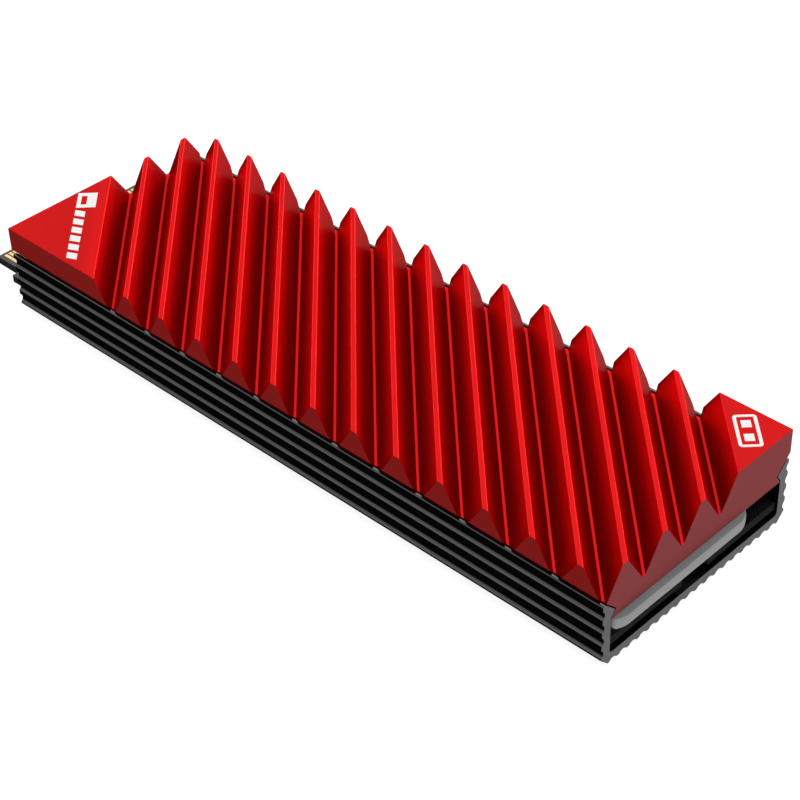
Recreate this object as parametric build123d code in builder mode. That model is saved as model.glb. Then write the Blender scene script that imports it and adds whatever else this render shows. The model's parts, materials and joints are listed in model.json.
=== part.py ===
from build123d import *
import os
from math import floor, sqrt

# A solid state drive of the 22 x 80 mm card size, held in a clip-on aluminium cooler.
# Sizes are in millimetres, with +Z up. The origin is the centre of the cooler's underside,
# on the crest of the tray's middle rib. -X is the card's edge connector end, +X its screw end.

# Cooler, overall
cooler_length = 73.6

# Clearances
slide_gap = 0.03  # between flat faces that slide over each other
clip_gap = 0.12  # between the tray's hooks and the heatsink's barbed sides
barb_tip_gap = 0.18  # in front of the tip of a hook
card_side_gap = 0.14  # between the card's long edges and the tray walls

# Card: bare board, with its edge connector tongue and screw notch
board_length = 80.0
board_width = 22.0
board_thickness = 0.8
board_recess = 0.2  # from the cooler's +X end in to the end of the card
tongue_width = 19.85
tongue_length = 4.0
tongue_bevel = 0.2
key_width = 1.2
key_depth = 3.5
key_offset = 6.125
screw_notch_diameter = 3.5
screw_pad_diameter = 5.5

# Card: gold contacts and underside label
contact_pitch = 0.5
contact_width = 0.35
contact_length = 2.2
contact_setback = 0.6
contact_thickness = 0.03
contact_count_top = 38
contact_count_bottom = 37
label_length = 58.0
label_width = 20.0
label_thickness = 0.07

# Card: moulded packages. Each place is measured from the tip of the edge connector.
package_height = 1.15  # flash and controller over the board, solder included
package_edge = 0.05
solder_height = 0.22
solder_diameter = 0.36
pin_mark_diameter = 0.7
pin_mark_inset = 1.0
pin_mark_depth = 0.04
flash_length = 12.5
flash_width = 18.0
flash_places = (46.0, 60.5)
memory_length = 8.0
memory_width = 12.0
memory_height = 0.85
memory_place = 33.5
controller_side = 12.5
controller_substrate_height = 0.33
controller_lid_side = 10.6
controller_lid_radius = 0.8
controller_place = 21.5

# Card: two-ended chip parts
end_cap_lip = 0.02  # how far a soldered end cap stands out around its body
chip_part_length = 1.0
chip_part_width = 0.5
chip_end_cap = 0.2
chip_part_pitch = 1.9
ceramic_height = 0.5
ceramic_places = (28.65, 38.6, 53.25, 67.9)
ceramic_rows = 10
resistor_height = 0.32
resistor_places = (14.1, 69.3)
resistor_rows = 9
inductor_size = (2.0, 2.5, 0.95)
inductor_end_cap = 0.35
inductor_place = 7.0
inductor_pitch = 3.1
inductor_rows = 3
tantalum_size = (2.6, 3.2, 1.0)
tantalum_end_cap = 0.5
tantalum_place = 11.3
tantalum_pitch = 4.2
tantalum_rows = 2
power_row_offset = -4.9  # centre line of the inductors and tantalum capacitors

# Card: small leaded chips, each (place, offset in Y, length in X, width in Y, height)
regulator_form = (8.8, 5.6, 3.6, 4.0, 0.75)
regulator_leads = 6
boot_memory_form = (72.6, 6.6, 3.9, 4.9, 0.8)
boot_memory_leads = 4
sensor_form = (12.0, 0.9, 1.2, 1.6, 0.6)
sensor_leads = 2
lead_length = 0.35
lead_thickness = 0.15
lead_fill = 0.5  # share of the lead pitch that is metal
crystal_length = 2.5
crystal_width = 3.2
crystal_base_height = 0.35
crystal_lid_height = 0.3
crystal_lid_inset = 0.2
crystal_place = 72.6
crystal_offset = -6.6

# Thermal pads
upper_pad_thickness = 1.1
upper_pad_overhang = 0.7  # past the cooler's +X end
upper_pad_inset = 0.7  # short of the cooler's -X end
upper_pad_width = 18.25
upper_pad_offset = -1.875
upper_pad_radius = 2.6
upper_pad_trim = 1.2  # cut off the rounded sheet along its -Y side
lower_pad_thickness = 0.5
lower_pad_inset = 4.0
lower_pad_width = 18.0
lower_pad_radius = 1.0

# Base tray: a ribbed channel with a hook along the top of each wall
tray_wall = 1.03
tray_floor = 0.99
tray_corner_cut = 0.85  # slanted cut along each lower corner
tray_corner_radius = 0.12
tray_inner_radius = 0.35
hook_overhang = 0.4
hook_undercut_slope = 1.6
wall_lip = 0.35  # flat top of the wall, before its outer edge is rounded
wall_lip_radius = 0.15
flute_width = 0.9
flute_depth = 0.25
floor_rib_pitch = 1.255
wall_rib_pitch = 1.388
first_wall_flute = 1.49
rib_land = 0.14  # least flat kept beside a flute
rib_crest_radius = 0.1

# Heatsink: a block with V grooves cut across its top at 45 degrees
side_overhang = 0.08  # each side face stands this far outside the tray wall
foot_height = 0.12
side_face_height = 2.41
groove_depth = 3.05
groove_pitch = 4.897  # along the cooler's length
first_groove = 14.99  # from the -X corner of the front edge
last_groove_margin = 9.0  # least distance from the last groove to the opposite corner
ridge_flat = 0.42  # before its edges are rounded
ridge_radius = 0.15
valley_flat = 0.28
valley_radius = 0.08

# Levels, from the tray's underside up
z_lower_pad_top = tray_floor + lower_pad_thickness
z_label = z_lower_pad_top + slide_gap
z_board = z_label + label_thickness
z_board_top = z_board + board_thickness
z_package_base = z_board_top + solder_height
tallest_part = max(package_height, solder_height + memory_height, inductor_size[2], tantalum_size[2])
z_upper_pad = z_board_top + tallest_part + slide_gap
z_underside = z_upper_pad + upper_pad_thickness
z_foot = z_underside + foot_height

# Places in plan
half_length = cooler_length / 2
half_width = board_width / 2 + card_side_gap + tray_wall
block_half_width = half_width + side_overhang
board_end = half_length - board_recess
board_tip = board_end - board_length

# Clip section, as insets from the tray wall's outer face
foot_inset = tray_wall + clip_gap
barb_inset = tray_wall + hook_overhang + barb_tip_gap
z_barb = z_foot + hook_undercut_slope * (barb_inset - foot_inset)
z_shoulder = z_barb + barb_inset + side_overhang
z_top = z_shoulder + side_face_height
z_valley = z_top - groove_depth
hook_inset = tray_wall + hook_overhang
z_hook_top = z_barb + barb_inset - clip_gap * sqrt(2) - hook_inset
z_hook_tip = z_foot + hook_undercut_slope * hook_overhang
z_wall_top = z_hook_top + hook_inset - wall_lip

# Flutes between the ribs: arcs of this radius, with their centres this far outside the face
flute_radius = ((flute_width / 2) ** 2 + flute_depth**2) / (2 * flute_depth)
flute_centre = flute_radius - flute_depth
flute_margin = flute_width / 2 + rib_land
floor_flutes = floor((half_width - tray_corner_cut - flute_margin) / floor_rib_pitch + 0.5)
flat_floor_edge = half_width - tray_corner_cut - rib_land / 2
flat_wall_foot = tray_corner_cut + rib_land / 2
flat_wall_head = z_wall_top - wall_lip_radius - rib_land / 2
wall_flutes = floor((z_wall_top - flute_margin - first_wall_flute) / wall_rib_pitch) + 1


def on_card(place, offset=0.0):
    """Point in plan that lies place from the connector tip and offset from the centre line."""
    return (board_tip + place, offset)


def centred(count, pitch, centre=0.0):
    """Evenly spaced values, pitch apart, with their middle at centre."""
    return [centre + (i - (count - 1) / 2) * pitch for i in range(count)]


def on_level(level, clear_of=0.0):
    """Selector for a section's vertices at one height, leaving out those nearer the middle than clear_of."""
    return lambda v: abs(v.Y - level) < 1e-4 and abs(v.X) > clear_of


def plate(centres, length, width, level, height, radius=0.0):
    """Flat rectangular pieces of one size, with rounded corners where radius is given."""
    with BuildPart() as block:
        with BuildSketch(Plane.XY.offset(level)):
            with Locations(*centres):
                if radius:
                    RectangleRounded(length, width, radius)
                else:
                    Rectangle(length, width)
        extrude(amount=height)
    return block


def package(place, length, width, level, top):
    """Moulded chip package with eased top edges and a round pin mark in one corner."""
    with BuildPart() as body:
        with BuildSketch(Plane.XY.offset(level)):
            with Locations(on_card(place)):
                Rectangle(length, width)
        extrude(amount=top - level)
        chamfer(body.faces().sort_by(Axis.Z)[-1].edges(), length=package_edge)
        with BuildSketch(Plane.XY.offset(top)):
            with Locations(on_card(place - length / 2 + pin_mark_inset, width / 2 - pin_mark_inset)):
                Circle(pin_mark_diameter / 2)
        extrude(amount=-pin_mark_depth, mode=Mode.SUBTRACT)
    return body


def solder_grid(place, columns, rows, column_pitch, row_pitch):
    """Reflowed solder joints between the board and a package."""
    with BuildPart() as joints:
        with BuildSketch(Plane.XY.offset(z_board_top)):
            with Locations(on_card(place)):
                with GridLocations(column_pitch, row_pitch, columns, rows):
                    Circle(solder_diameter / 2)
        extrude(amount=solder_height)
    return joints


def two_ended(centres, length, width, height, cap):
    """Bodies and soldered end caps of parts that lie along Y on the board."""
    bodies = plate(
        centres, width, length - 2 * cap, z_board_top + end_cap_lip, height - 2 * end_cap_lip
    )
    cap_offset = (length - cap) / 2
    cap_centres = [(x, y + side * cap_offset) for x, y in centres for side in (-1, 1)]
    caps = plate(cap_centres, width + 2 * end_cap_lip, cap, z_board_top, height)
    return bodies, caps


def leaded_chip(form, leads_per_side):
    """Moulded chip and the flat leads along its two sides that face the card's ends."""
    place, offset, length, width, height = form
    with BuildPart() as body:
        with BuildSketch(Plane.XY.offset(z_board_top)):
            with Locations(on_card(place, offset)):
                Rectangle(length, width)
        extrude(amount=height)
        chamfer(body.faces().sort_by(Axis.Z)[-1].edges(), length=package_edge)
    pitch = width / leads_per_side
    reach = (length + lead_length) / 2
    lead_centres = [
        on_card(place + side * reach, y)
        for side in (-1, 1)
        for y in centred(leads_per_side, pitch, offset)
    ]
    leads = plate(lead_centres, lead_length, pitch * lead_fill, z_board_top, lead_thickness)
    return body, leads


def edge_contacts(count, level, first):
    """Gold contacts across the tongue, with none over the key slot."""
    clear = (key_width + contact_width) / 2
    rows = [first - i * contact_pitch for i in range(count)]
    rows = [y for y in rows if abs(y + key_offset) > clear + contact_pitch / 2]
    place = contact_setback + contact_length / 2
    centres = [on_card(place, y) for y in rows]
    return plate(centres, contact_length, contact_width, level, contact_thickness)


# Base tray
with BuildPart() as base_tray:
    with BuildSketch(Plane.YZ) as tray_section:
        with BuildLine():
            Polyline(
                (0, 0),
                (half_width, 0),
                (half_width, z_wall_top),
                (half_width - wall_lip, z_wall_top),
                (half_width - hook_inset, z_hook_top),
                (half_width - hook_inset, z_hook_tip),
                (half_width - tray_wall, z_foot),
                (half_width - tray_wall, tray_floor),
                (0, tray_floor),
                close=True,
            )
        make_face()
        mirror(about=Plane.YZ)
        chamfer(tray_section.vertices().filter_by(on_level(0, wall_lip)), tray_corner_cut)
        fillet(tray_section.vertices().filter_by(on_level(0, wall_lip)), tray_corner_radius)
        fillet(tray_section.vertices().filter_by(on_level(tray_corner_cut)), tray_corner_radius)
        fillet(tray_section.vertices().filter_by(on_level(tray_floor, wall_lip)), tray_inner_radius)
        fillet(tray_section.vertices().filter_by(on_level(z_wall_top)), wall_lip_radius)
        with Locations(*[(y, -flute_centre) for y in centred(2 * floor_flutes, floor_rib_pitch)]):
            Circle(flute_radius, mode=Mode.SUBTRACT)
        wall_levels = [first_wall_flute + i * wall_rib_pitch for i in range(wall_flutes)]
        wall_side = half_width + flute_centre
        with Locations(*[(side * wall_side, z) for side in (-1, 1) for z in wall_levels]):
            Circle(flute_radius, mode=Mode.SUBTRACT)
        floor_crests = tray_section.vertices().filter_by(on_level(0))
        fillet(floor_crests.filter_by(lambda v: abs(v.X) < flat_floor_edge), rib_crest_radius)
        wall_crests = tray_section.vertices().filter_by(lambda v: abs(abs(v.X) - half_width) < 1e-4)
        fillet(wall_crests.filter_by(lambda v: flat_wall_foot < v.Y < flat_wall_head), rib_crest_radius)
    extrude(amount=half_length, both=True)

# Heatsink
groove_span = cooler_length + 2 * block_half_width - first_groove - last_groove_margin
groove_count = floor(groove_span / groove_pitch) + 1
groove_places = [
    (first_groove + i * groove_pitch - half_length - block_half_width) / sqrt(2)
    for i in range(groove_count)
]
groove_opening = groove_pitch / sqrt(2) - ridge_flat
ridge_reach = half_length + block_half_width + groove_pitch  # past every corner of the block
ridge_plane = Plane(origin=(0, 0, 0), x_dir=(1, 1, 0), z_dir=(1, -1, 0))

with BuildPart() as finned_heatsink:
    with BuildSketch(Plane.YZ):
        with BuildLine():
            Polyline(
                (0, z_underside),
                (half_width - foot_inset, z_underside),
                (half_width - foot_inset, z_foot),
                (half_width - barb_inset, z_barb),
                (block_half_width, z_shoulder),
                (block_half_width, z_top),
                (0, z_top),
                close=True,
            )
        make_face()
        mirror(about=Plane.YZ)
    extrude(amount=half_length, both=True)
    with BuildSketch(ridge_plane) as ridge_section:
        with Locations((0, z_top / 2)):
            Rectangle(2 * ridge_reach, z_top)
        for place in groove_places:
            with BuildLine():
                Polyline(
                    (place - groove_opening / 2, z_top),
                    (place - valley_flat / 2, z_valley),
                    (place + valley_flat / 2, z_valley),
                    (place + groove_opening / 2, z_top),
                    close=True,
                )
            make_face(mode=Mode.SUBTRACT)
        crests = ridge_section.vertices().filter_by(on_level(z_top))
        fillet(crests.filter_by(lambda v: abs(v.X) < half_length + block_half_width), ridge_radius)
        fillet(ridge_section.vertices().filter_by(on_level(z_valley)), valley_radius)
    extrude(amount=ridge_reach, both=True, mode=Mode.INTERSECT)

# Thermal pads
upper_pad_length = cooler_length + upper_pad_overhang - upper_pad_inset
upper_pad_centre = (upper_pad_overhang + upper_pad_inset) / 2
upper_pad_sheet = upper_pad_width + upper_pad_trim
with BuildPart() as upper_thermal_pad:
    with BuildSketch(Plane.XY.offset(z_upper_pad)):
        with Locations((upper_pad_centre, upper_pad_offset - upper_pad_trim / 2)):
            RectangleRounded(upper_pad_length, upper_pad_sheet, upper_pad_radius)
        with Locations((upper_pad_centre, upper_pad_offset - upper_pad_sheet / 2)):
            Rectangle(2 * upper_pad_length, upper_pad_trim, mode=Mode.SUBTRACT)
    extrude(amount=upper_pad_thickness)
lower_thermal_pad = plate(
    [(0, 0)],
    cooler_length - 2 * lower_pad_inset,
    lower_pad_width,
    tray_floor,
    lower_pad_thickness,
    lower_pad_radius,
)

# Circuit board
with BuildPart() as circuit_board:
    with BuildSketch(Plane.XY.offset(z_board)):
        with Locations(on_card((board_length + tongue_length) / 2)):
            Rectangle(board_length - tongue_length, board_width)
        with Locations(on_card(tongue_length / 2)):
            Rectangle(tongue_length, tongue_width)
        with Locations(on_card((key_depth - key_width / 2) / 2, -key_offset)):
            Rectangle(key_depth - key_width / 2, key_width, mode=Mode.SUBTRACT)
        with Locations(on_card(key_depth - key_width / 2, -key_offset)):
            Circle(key_width / 2, mode=Mode.SUBTRACT)
        with Locations(on_card(board_length)):
            Circle(screw_notch_diameter / 2, mode=Mode.SUBTRACT)
    extrude(amount=board_thickness)
    long_edges = circuit_board.edges().filter_by(Axis.Y)
    chamfer(long_edges.filter_by(lambda e: abs(e.center().X - board_tip) < 1e-4), length=tongue_bevel)

# Gold contacts, screw pads and label
first_contact_top = (contact_count_top - 1) / 2 * contact_pitch
first_contact_bottom = (contact_count_bottom - 1) / 2 * contact_pitch
edge_contacts_top = edge_contacts(contact_count_top, z_board_top, first_contact_top)
edge_contacts_bottom = edge_contacts(
    contact_count_bottom, z_board - contact_thickness, first_contact_bottom
)

with BuildPart() as screw_pads:
    for level in (z_board - contact_thickness, z_board_top):
        with BuildSketch(Plane.XY.offset(level)):
            with Locations(on_card(board_length)):
                Circle(screw_pad_diameter / 2)
                Circle(screw_notch_diameter / 2, mode=Mode.SUBTRACT)
            with Locations(on_card(board_length + screw_pad_diameter / 2)):
                Rectangle(screw_pad_diameter, 2 * screw_pad_diameter, mode=Mode.SUBTRACT)
        extrude(amount=contact_thickness)

underside_label = plate(
    [on_card((board_length + tongue_length) / 2)], label_length, label_width, z_label, label_thickness
)

# Flash, working memory and controller packages
z_package_top = z_board_top + package_height
flash_packages = [package(p, flash_length, flash_width, z_package_base, z_package_top) for p in flash_places]
flash_solder = [solder_grid(p, 6, 9, 1.6, 1.8) for p in flash_places]
memory_package = package(
    memory_place, memory_length, memory_width, z_package_base, z_package_base + memory_height
)
memory_solder = solder_grid(memory_place, 6, 9, 1.1, 1.2)

z_controller_lid = z_package_base + controller_substrate_height
controller_substrate = plate(
    [on_card(controller_place)],
    controller_side,
    controller_side,
    z_package_base,
    controller_substrate_height,
)
controller_lid = plate(
    [on_card(controller_place)],
    controller_lid_side,
    controller_lid_side,
    z_controller_lid,
    z_package_top - z_controller_lid,
    controller_lid_radius,
)
controller_solder = solder_grid(controller_place, 9, 9, 1.25, 1.25)

# Two-ended parts
ceramic_centres = [on_card(p, y) for p in ceramic_places for y in centred(ceramic_rows, chip_part_pitch)]
ceramic_capacitors, ceramic_end_caps = two_ended(
    ceramic_centres, chip_part_length, chip_part_width, ceramic_height, chip_end_cap
)
resistor_centres = [on_card(p, y) for p in resistor_places for y in centred(resistor_rows, chip_part_pitch)]
chip_resistors, resistor_end_caps = two_ended(
    resistor_centres, chip_part_length, chip_part_width, resistor_height, chip_end_cap
)
inductor_width, inductor_length, inductor_height = inductor_size
inductor_centres = [
    on_card(inductor_place, y) for y in centred(inductor_rows, inductor_pitch, power_row_offset)
]
power_inductors, inductor_end_caps = two_ended(
    inductor_centres, inductor_length, inductor_width, inductor_height, inductor_end_cap
)
tantalum_width, tantalum_length, tantalum_height = tantalum_size
tantalum_centres = [
    on_card(tantalum_place, y) for y in centred(tantalum_rows, tantalum_pitch, power_row_offset)
]
tantalum_capacitors, tantalum_end_caps = two_ended(
    tantalum_centres, tantalum_length, tantalum_width, tantalum_height, tantalum_end_cap
)

# Small chips and crystal
power_regulator, power_regulator_leads = leaded_chip(regulator_form, regulator_leads)
boot_memory, boot_memory_pins = leaded_chip(boot_memory_form, boot_memory_leads)
temperature_sensor, temperature_sensor_leads = leaded_chip(sensor_form, sensor_leads)
crystal_centre = [on_card(crystal_place, crystal_offset)]
crystal_base = plate(crystal_centre, crystal_length, crystal_width, z_board_top, crystal_base_height)
crystal_lid = plate(
    crystal_centre,
    crystal_length - 2 * crystal_lid_inset,
    crystal_width - 2 * crystal_lid_inset,
    z_board_top + crystal_base_height,
    crystal_lid_height,
    crystal_lid_inset,
)

# Names and files
pieces = {
    "finned_heatsink": finned_heatsink,
    "upper_thermal_pad": upper_thermal_pad,
    "base_tray": base_tray,
    "lower_thermal_pad": lower_thermal_pad,
    "circuit_board": circuit_board,
    "edge_contacts_top": edge_contacts_top,
    "edge_contacts_bottom": edge_contacts_bottom,
    "screw_pads": screw_pads,
    "underside_label": underside_label,
    "flash_package_1": flash_packages[0],
    "flash_package_2": flash_packages[1],
    "flash_solder_1": flash_solder[0],
    "flash_solder_2": flash_solder[1],
    "memory_package": memory_package,
    "memory_solder": memory_solder,
    "controller_substrate": controller_substrate,
    "controller_lid": controller_lid,
    "controller_solder": controller_solder,
    "ceramic_capacitors": ceramic_capacitors,
    "ceramic_end_caps": ceramic_end_caps,
    "chip_resistors": chip_resistors,
    "resistor_end_caps": resistor_end_caps,
    "power_inductors": power_inductors,
    "inductor_end_caps": inductor_end_caps,
    "tantalum_capacitors": tantalum_capacitors,
    "tantalum_end_caps": tantalum_end_caps,
    "power_regulator": power_regulator,
    "power_regulator_leads": power_regulator_leads,
    "boot_memory": boot_memory,
    "boot_memory_leads": boot_memory_pins,
    "temperature_sensor": temperature_sensor,
    "temperature_sensor_leads": temperature_sensor_leads,
    "crystal_base": crystal_base,
    "crystal_lid": crystal_lid,
}
os.makedirs("parts", exist_ok=True)
for name, piece in pieces.items():
    piece.part.label = name
    export_step(piece.part, f"parts/{name}.step")
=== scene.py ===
"""Looks of a solid state drive held in a clip-on cooler.

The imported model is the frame. This file dresses its nodes, puts pressed silicone sheets in place of the
two plain pads, prints plain marks on the heatsink and the card, and sets up the studio around them.
"""

from __future__ import annotations

import json
import logging
import math
from collections.abc import Iterable, Sequence
from dataclasses import dataclass
from enum import Enum
from typing import Any, Union

import bmesh
import bpy
from bmesh.types import BMVert
from bpy.types import Material, NodeSocket, NodeTree, Object
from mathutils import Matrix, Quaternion, Vector

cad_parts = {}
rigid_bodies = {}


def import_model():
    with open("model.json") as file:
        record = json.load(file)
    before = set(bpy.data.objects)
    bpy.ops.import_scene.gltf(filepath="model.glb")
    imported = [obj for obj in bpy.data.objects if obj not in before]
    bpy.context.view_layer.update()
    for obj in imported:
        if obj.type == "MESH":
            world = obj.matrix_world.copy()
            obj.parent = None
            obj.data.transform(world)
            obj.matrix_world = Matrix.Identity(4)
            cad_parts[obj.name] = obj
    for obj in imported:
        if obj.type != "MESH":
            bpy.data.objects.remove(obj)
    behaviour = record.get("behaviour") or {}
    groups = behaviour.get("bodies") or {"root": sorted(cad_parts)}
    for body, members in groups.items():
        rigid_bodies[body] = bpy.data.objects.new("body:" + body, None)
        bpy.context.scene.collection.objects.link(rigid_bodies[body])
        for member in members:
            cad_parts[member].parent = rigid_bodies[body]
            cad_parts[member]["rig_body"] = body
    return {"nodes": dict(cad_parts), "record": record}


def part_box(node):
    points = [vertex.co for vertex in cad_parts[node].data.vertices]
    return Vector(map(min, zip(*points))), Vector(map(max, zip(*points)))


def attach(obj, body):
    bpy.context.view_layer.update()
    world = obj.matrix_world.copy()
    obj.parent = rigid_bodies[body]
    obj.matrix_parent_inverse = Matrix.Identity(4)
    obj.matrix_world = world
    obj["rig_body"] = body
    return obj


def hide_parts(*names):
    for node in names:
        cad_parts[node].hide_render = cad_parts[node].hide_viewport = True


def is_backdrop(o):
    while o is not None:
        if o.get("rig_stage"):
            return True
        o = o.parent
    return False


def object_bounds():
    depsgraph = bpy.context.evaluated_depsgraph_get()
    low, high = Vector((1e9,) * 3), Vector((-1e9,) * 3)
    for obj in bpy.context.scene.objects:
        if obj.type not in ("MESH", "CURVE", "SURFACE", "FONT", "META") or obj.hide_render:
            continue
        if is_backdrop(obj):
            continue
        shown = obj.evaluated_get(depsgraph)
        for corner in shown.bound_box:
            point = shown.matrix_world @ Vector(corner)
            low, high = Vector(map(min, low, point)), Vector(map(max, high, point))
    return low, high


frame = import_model()
bpy.context.view_layer.update()

Colour = tuple[float, float, float]
Spot = tuple[float, float, float]
Point = tuple[float, float]
Band = tuple[float, float]
Patch = tuple[Point, Point]
Term = Union["Wire", float, Sequence[float]]

MM = 0.001
MICRON = 1e-6
ROOT_HALF = math.sqrt(0.5)
SHARP_EDGE = math.radians(35)
WHITE: Colour = (1.0, 1.0, 1.0)
UNSTRETCHED: Spot = (1.0, 1.0, 1.0)
# How far a direction points along an axis when a face begins to look that way, and when it does.
FACING: Band = (0.85, 0.95)
log = logging.getLogger("cooler")


class Body(Enum):
    """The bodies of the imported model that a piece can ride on."""

    TRAY = "tray"
    HEATSINK = "heatsink"
    CARD = "card"


def shaded(colour: Colour, share: float) -> Colour:
    """Gives a colour times a share, darker below 1."""
    return tuple(share * part for part in colour)


@dataclass(frozen=True)
class Grain:
    """A cloudy noise: its blobs per unit of length, its octaves of finer noise and their strength."""

    scale: float = 1.0
    octaves: float = 2.0
    strength: float = 0.5


LINES = Grain(octaves=3.0, strength=0.6)


class Wire:
    """One output socket of a shader sheet, with arithmetic that adds Math nodes."""

    def __init__(self, sheet: Sheet, socket: NodeSocket) -> None:
        """Keeps the socket and the sheet that it is on."""
        self.sheet = sheet
        self.socket = socket

    def _maths(self, operation: str, *terms: Term) -> Wire:
        """Adds one Math node and gives its output."""
        return self.sheet.node("ShaderNodeMath", {"operation": operation}, dict(enumerate(terms)))

    def __add__(self, other: Term) -> Wire:
        """Sum."""
        return self._maths("ADD", self, other)

    def __radd__(self, other: Term) -> Wire:
        """Reflected sum."""
        return self._maths("ADD", other, self)

    def __sub__(self, other: Term) -> Wire:
        """Difference."""
        return self._maths("SUBTRACT", self, other)

    def __rsub__(self, other: Term) -> Wire:
        """Reflected difference."""
        return self._maths("SUBTRACT", other, self)

    def __mul__(self, other: Term) -> Wire:
        """Product."""
        return self._maths("MULTIPLY", self, other)

    def __rmul__(self, other: Term) -> Wire:
        """Reflected product."""
        return self._maths("MULTIPLY", other, self)

    def __truediv__(self, other: Term) -> Wire:
        """Quotient."""
        return self._maths("DIVIDE", self, other)

    def __mod__(self, other: Term) -> Wire:
        """Remainder, never negative."""
        return self._maths("FLOORED_MODULO", self, other)

    def __abs__(self) -> Wire:
        """Size without sign."""
        return self._maths("ABSOLUTE", self)

    def larger(self, other: Term) -> Wire:
        """Larger of the two."""
        return self._maths("MAXIMUM", self, other)

    def smaller(self, other: Term) -> Wire:
        """Smaller of the two."""
        return self._maths("MINIMUM", self, other)

    def rise(self, low: float, high: float) -> Wire:
        """Smooth step.

        Args:
            low: Value where the step is 0.
            high: Value where the step is 1. It may be below low, and then the step falls.

        Returns:
            The step, from 0 to 1.
        """
        ends = {"Value": self, "From Min": low, "From Max": high}
        return self.sheet.node("ShaderNodeMapRange", {"interpolation_type": "SMOOTHSTEP"}, ends)


class Sheet:
    """A node tree that a finish or the sky is drawn on."""

    def __init__(self, tree: NodeTree) -> None:
        """Clears the tree and keeps it."""
        tree.nodes.clear()
        self.tree = tree

    def node(
        self,
        kind: str,
        settings: dict[str, Any] | None = None,
        inputs: dict[str | int, Term] | None = None,
        out: str | int = 0,
    ) -> Wire:
        """Adds any node.

        Args:
            kind: Blender's name of the node type.
            settings: Properties of the node, such as a Math node's operation, set first.
            inputs: Values or wires, by the socket's name or number.
            out: Name or number of the output to give back.

        Returns:
            The chosen output.
        """
        made = self.tree.nodes.new(kind)
        for name, value in (settings or {}).items():
            setattr(made, name, value)
        for key, value in (inputs or {}).items():
            self._feed(made.inputs[key], value)
        return Wire(self, made.outputs[out])

    def _feed(self, socket: NodeSocket, value: Term) -> None:
        """Links a wire to a socket, or sets the socket's value.

        Args:
            socket: The socket to feed.
            value: A wire, a number, or a colour or vector.
        """
        if isinstance(value, Wire):
            self.tree.links.new(value.socket, socket)
        elif isinstance(value, (tuple, list)) and socket.type == "RGBA":
            socket.default_value = (*value[:3], 1.0)
        else:
            socket.default_value = value

    def place(self) -> tuple[Wire, Wire, Wire]:
        """Position on the piece, in metres in the row's frame, as three wires."""
        return self.parts(self.node("ShaderNodeTexCoord", out="Object"))

    def facing(self) -> tuple[Wire, Wire, Wire]:
        """The surface's direction on the piece, as three wires."""
        return self.parts(self.node("ShaderNodeTexCoord", out="Normal"))

    def parts(self, vector: Wire) -> tuple[Wire, Wire, Wire]:
        """Splits a vector into its three numbers."""
        outputs = self.node("ShaderNodeSeparateXYZ", inputs={0: vector}).socket.node.outputs
        return tuple(Wire(self, outputs[i]) for i in range(3))

    def vector(self, x: Term, y: Term, z: Term) -> Wire:
        """Joins three numbers into a vector."""
        return self.node("ShaderNodeCombineXYZ", inputs={0: x, 1: y, 2: z})

    def stretched(self, place: Sequence[Wire], scales: Spot) -> Wire:
        """Joins a place into a vector, with a scale of its own in each direction."""
        return self.vector(*(part * scale for part, scale in zip(place, scales)))

    def noise(self, where: Wire, grain: Grain) -> Wire:
        """Draws a cloudy noise.

        Args:
            where: Position vector.
            grain: The noise's scale and octaves.

        Returns:
            Noise from 0 to 1, centred on 0.5.
        """
        inputs = {"Vector": where, "Scale": grain.scale}
        inputs |= {"Detail": grain.octaves, "Roughness": grain.strength}
        return self.node("ShaderNodeTexNoise", inputs=inputs)

    def cells(self, where: Wire, scale: float, out: str = "Distance") -> Wire:
        """Cell noise: distance to the nearest point, or that cell's own colour."""
        return self.node("ShaderNodeTexVoronoi", inputs={"Vector": where, "Scale": scale}, out=out)

    def tint(self, share: Term, low: Term, high: Term) -> Wire:
        """Colour between low, at share 0, and high, at share 1."""
        return self.node("ShaderNodeMix", {"data_type": "RGBA"}, {0: share, 6: low, 7: high}, out=2)

    def bump(self, height: Wire, depth: float, under: Wire | None = None) -> Wire:
        """Draws a relief.

        Args:
            height: Height from 0 to 1.
            depth: Metres that a height of 1 stands up.
            under: A relief that this one is added to.

        Returns:
            The bumped normal.
        """
        inputs = {"Height": height, "Distance": depth, "Strength": 1.0}
        if under is not None:
            inputs["Normal"] = under
        return self.node("ShaderNodeBump", inputs=inputs)

    def surface(self, **sockets: Term) -> None:
        """Ends the sheet in a Principled surface; socket names are written with underscores."""
        inputs = {name.replace("_", " "): value for name, value in sockets.items()}
        self.end("ShaderNodeOutputMaterial", self.node("ShaderNodeBsdfPrincipled", inputs=inputs))

    def end(self, kind: str, shader: Wire) -> None:
        """Plugs a shader into an output node of the given kind."""
        self._feed(self.tree.nodes.new(kind).inputs["Surface"], shader)


@dataclass(frozen=True)
class Finish:
    """What every finish has: a name, and a sheet drawn by its own draw method."""

    name: str

    def material(self) -> Material:
        """Gives the finish's material, making it the first time.

        Returns:
            The material.
        """
        known = bpy.data.materials.get(f"{self.name}_finish")
        if known is not None:
            return known
        made = bpy.data.materials.new(f"{self.name}_finish")
        made.use_nodes = True
        self.draw(Sheet(made.node_tree))
        return made

    def draw(self, sheet: Sheet) -> None:
        """Draws the finish. Each finish has its own way.

        Args:
            sheet: The material's sheet.
        """
        raise NotImplementedError


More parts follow.
